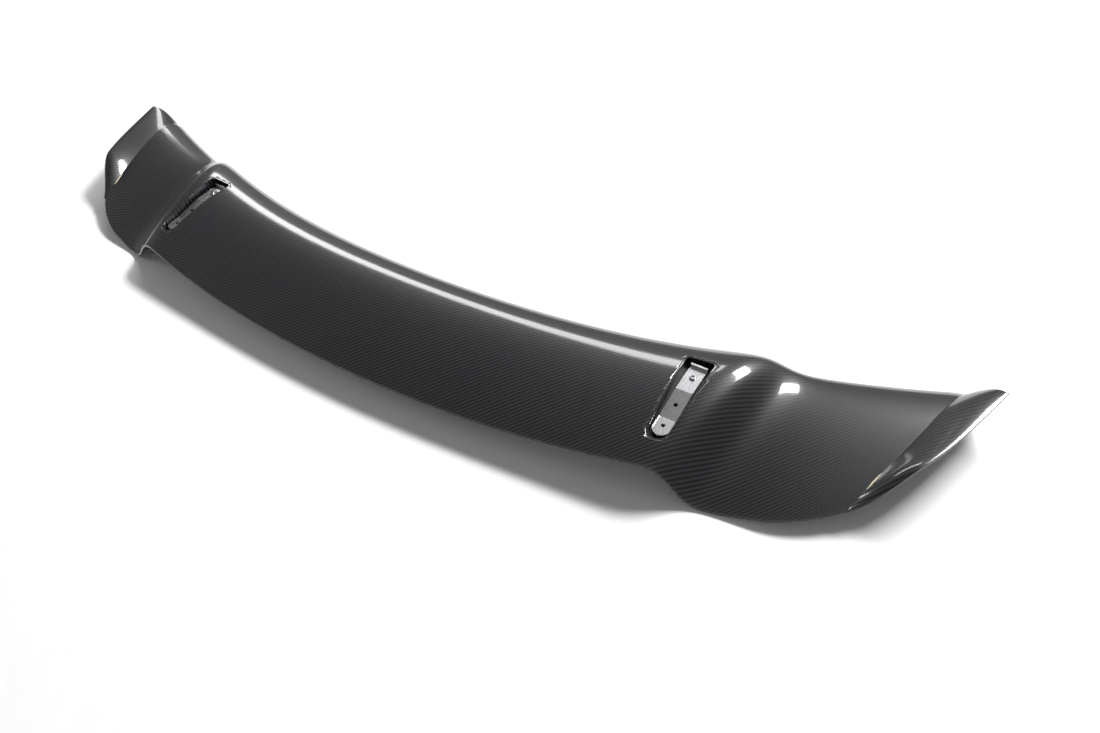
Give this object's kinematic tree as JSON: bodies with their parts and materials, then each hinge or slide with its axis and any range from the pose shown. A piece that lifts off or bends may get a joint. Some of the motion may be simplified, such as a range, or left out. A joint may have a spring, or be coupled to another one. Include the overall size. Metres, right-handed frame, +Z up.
{
  "type": "racing rear wing",
  "caption": "Bowed rear wing with stepped-down outer panels, upturned tips and two bracket pockets, lying on its back.",
  "frame": {"origin": "on the floor, below the middle of the wing's box", "axes": "+X along the span to the right tip, +Y from the trailing edge to the leading edge, +Z up, away from the floor that the wing lies on with its pockets up"},
  "size_m": [1.692, 0.3773, 0.0804],
  "materials": {
    "carbon_gloss": "clear-coated twill carbon laminate",
    "carbon_web": "bare cured carbon laminate",
    "foam_core": "sanded structural foam",
    "adhesive": "cured structural adhesive",
    "block_laminate": "machined glass laminate",
    "bracket_aluminium": "bright brushed",
    "fastener_steel": "zinc plated",
    "insert_brass": "turned"
  },
  "bodies": {
    "root": {"under_skin": "carbon_gloss", "upper_skin": "carbon_gloss", "pocket_tray_left": "carbon_gloss", "pocket_tray_right": "carbon_gloss", "bracket_left": "bracket_aluminium", "bracket_right": "bracket_aluminium", "clinch_nuts": "fastener_steel", "bracket_screws": "fastener_steel", "screw_spacers": "bracket_aluminium", "screw_inserts": "insert_brass", "mount_block_left": "block_laminate", "mount_block_right": "block_laminate", "front_spar": "carbon_web", "rear_spar": "carbon_web", "centre_rib": "carbon_web", "inner_rib_left": "carbon_web", "inner_rib_right": "carbon_web", "pocket_rib_left": "carbon_web", "pocket_rib_right": "carbon_web", "outer_rib_left": "carbon_web", "outer_rib_right": "carbon_web", "centre_core_left": "foam_core", "centre_core_right": "foam_core", "step_core_left": "foam_core", "step_core_right": "foam_core", "outer_core_left": "foam_core", "outer_core_right": "foam_core", "nose_core": "foam_core", "tail_core": "foam_core", "tip_core_left": "foam_core", "tip_core_right": "foam_core", "nose_bond": "adhesive", "edge_bond": "adhesive"}
  },
  "joints": []
}
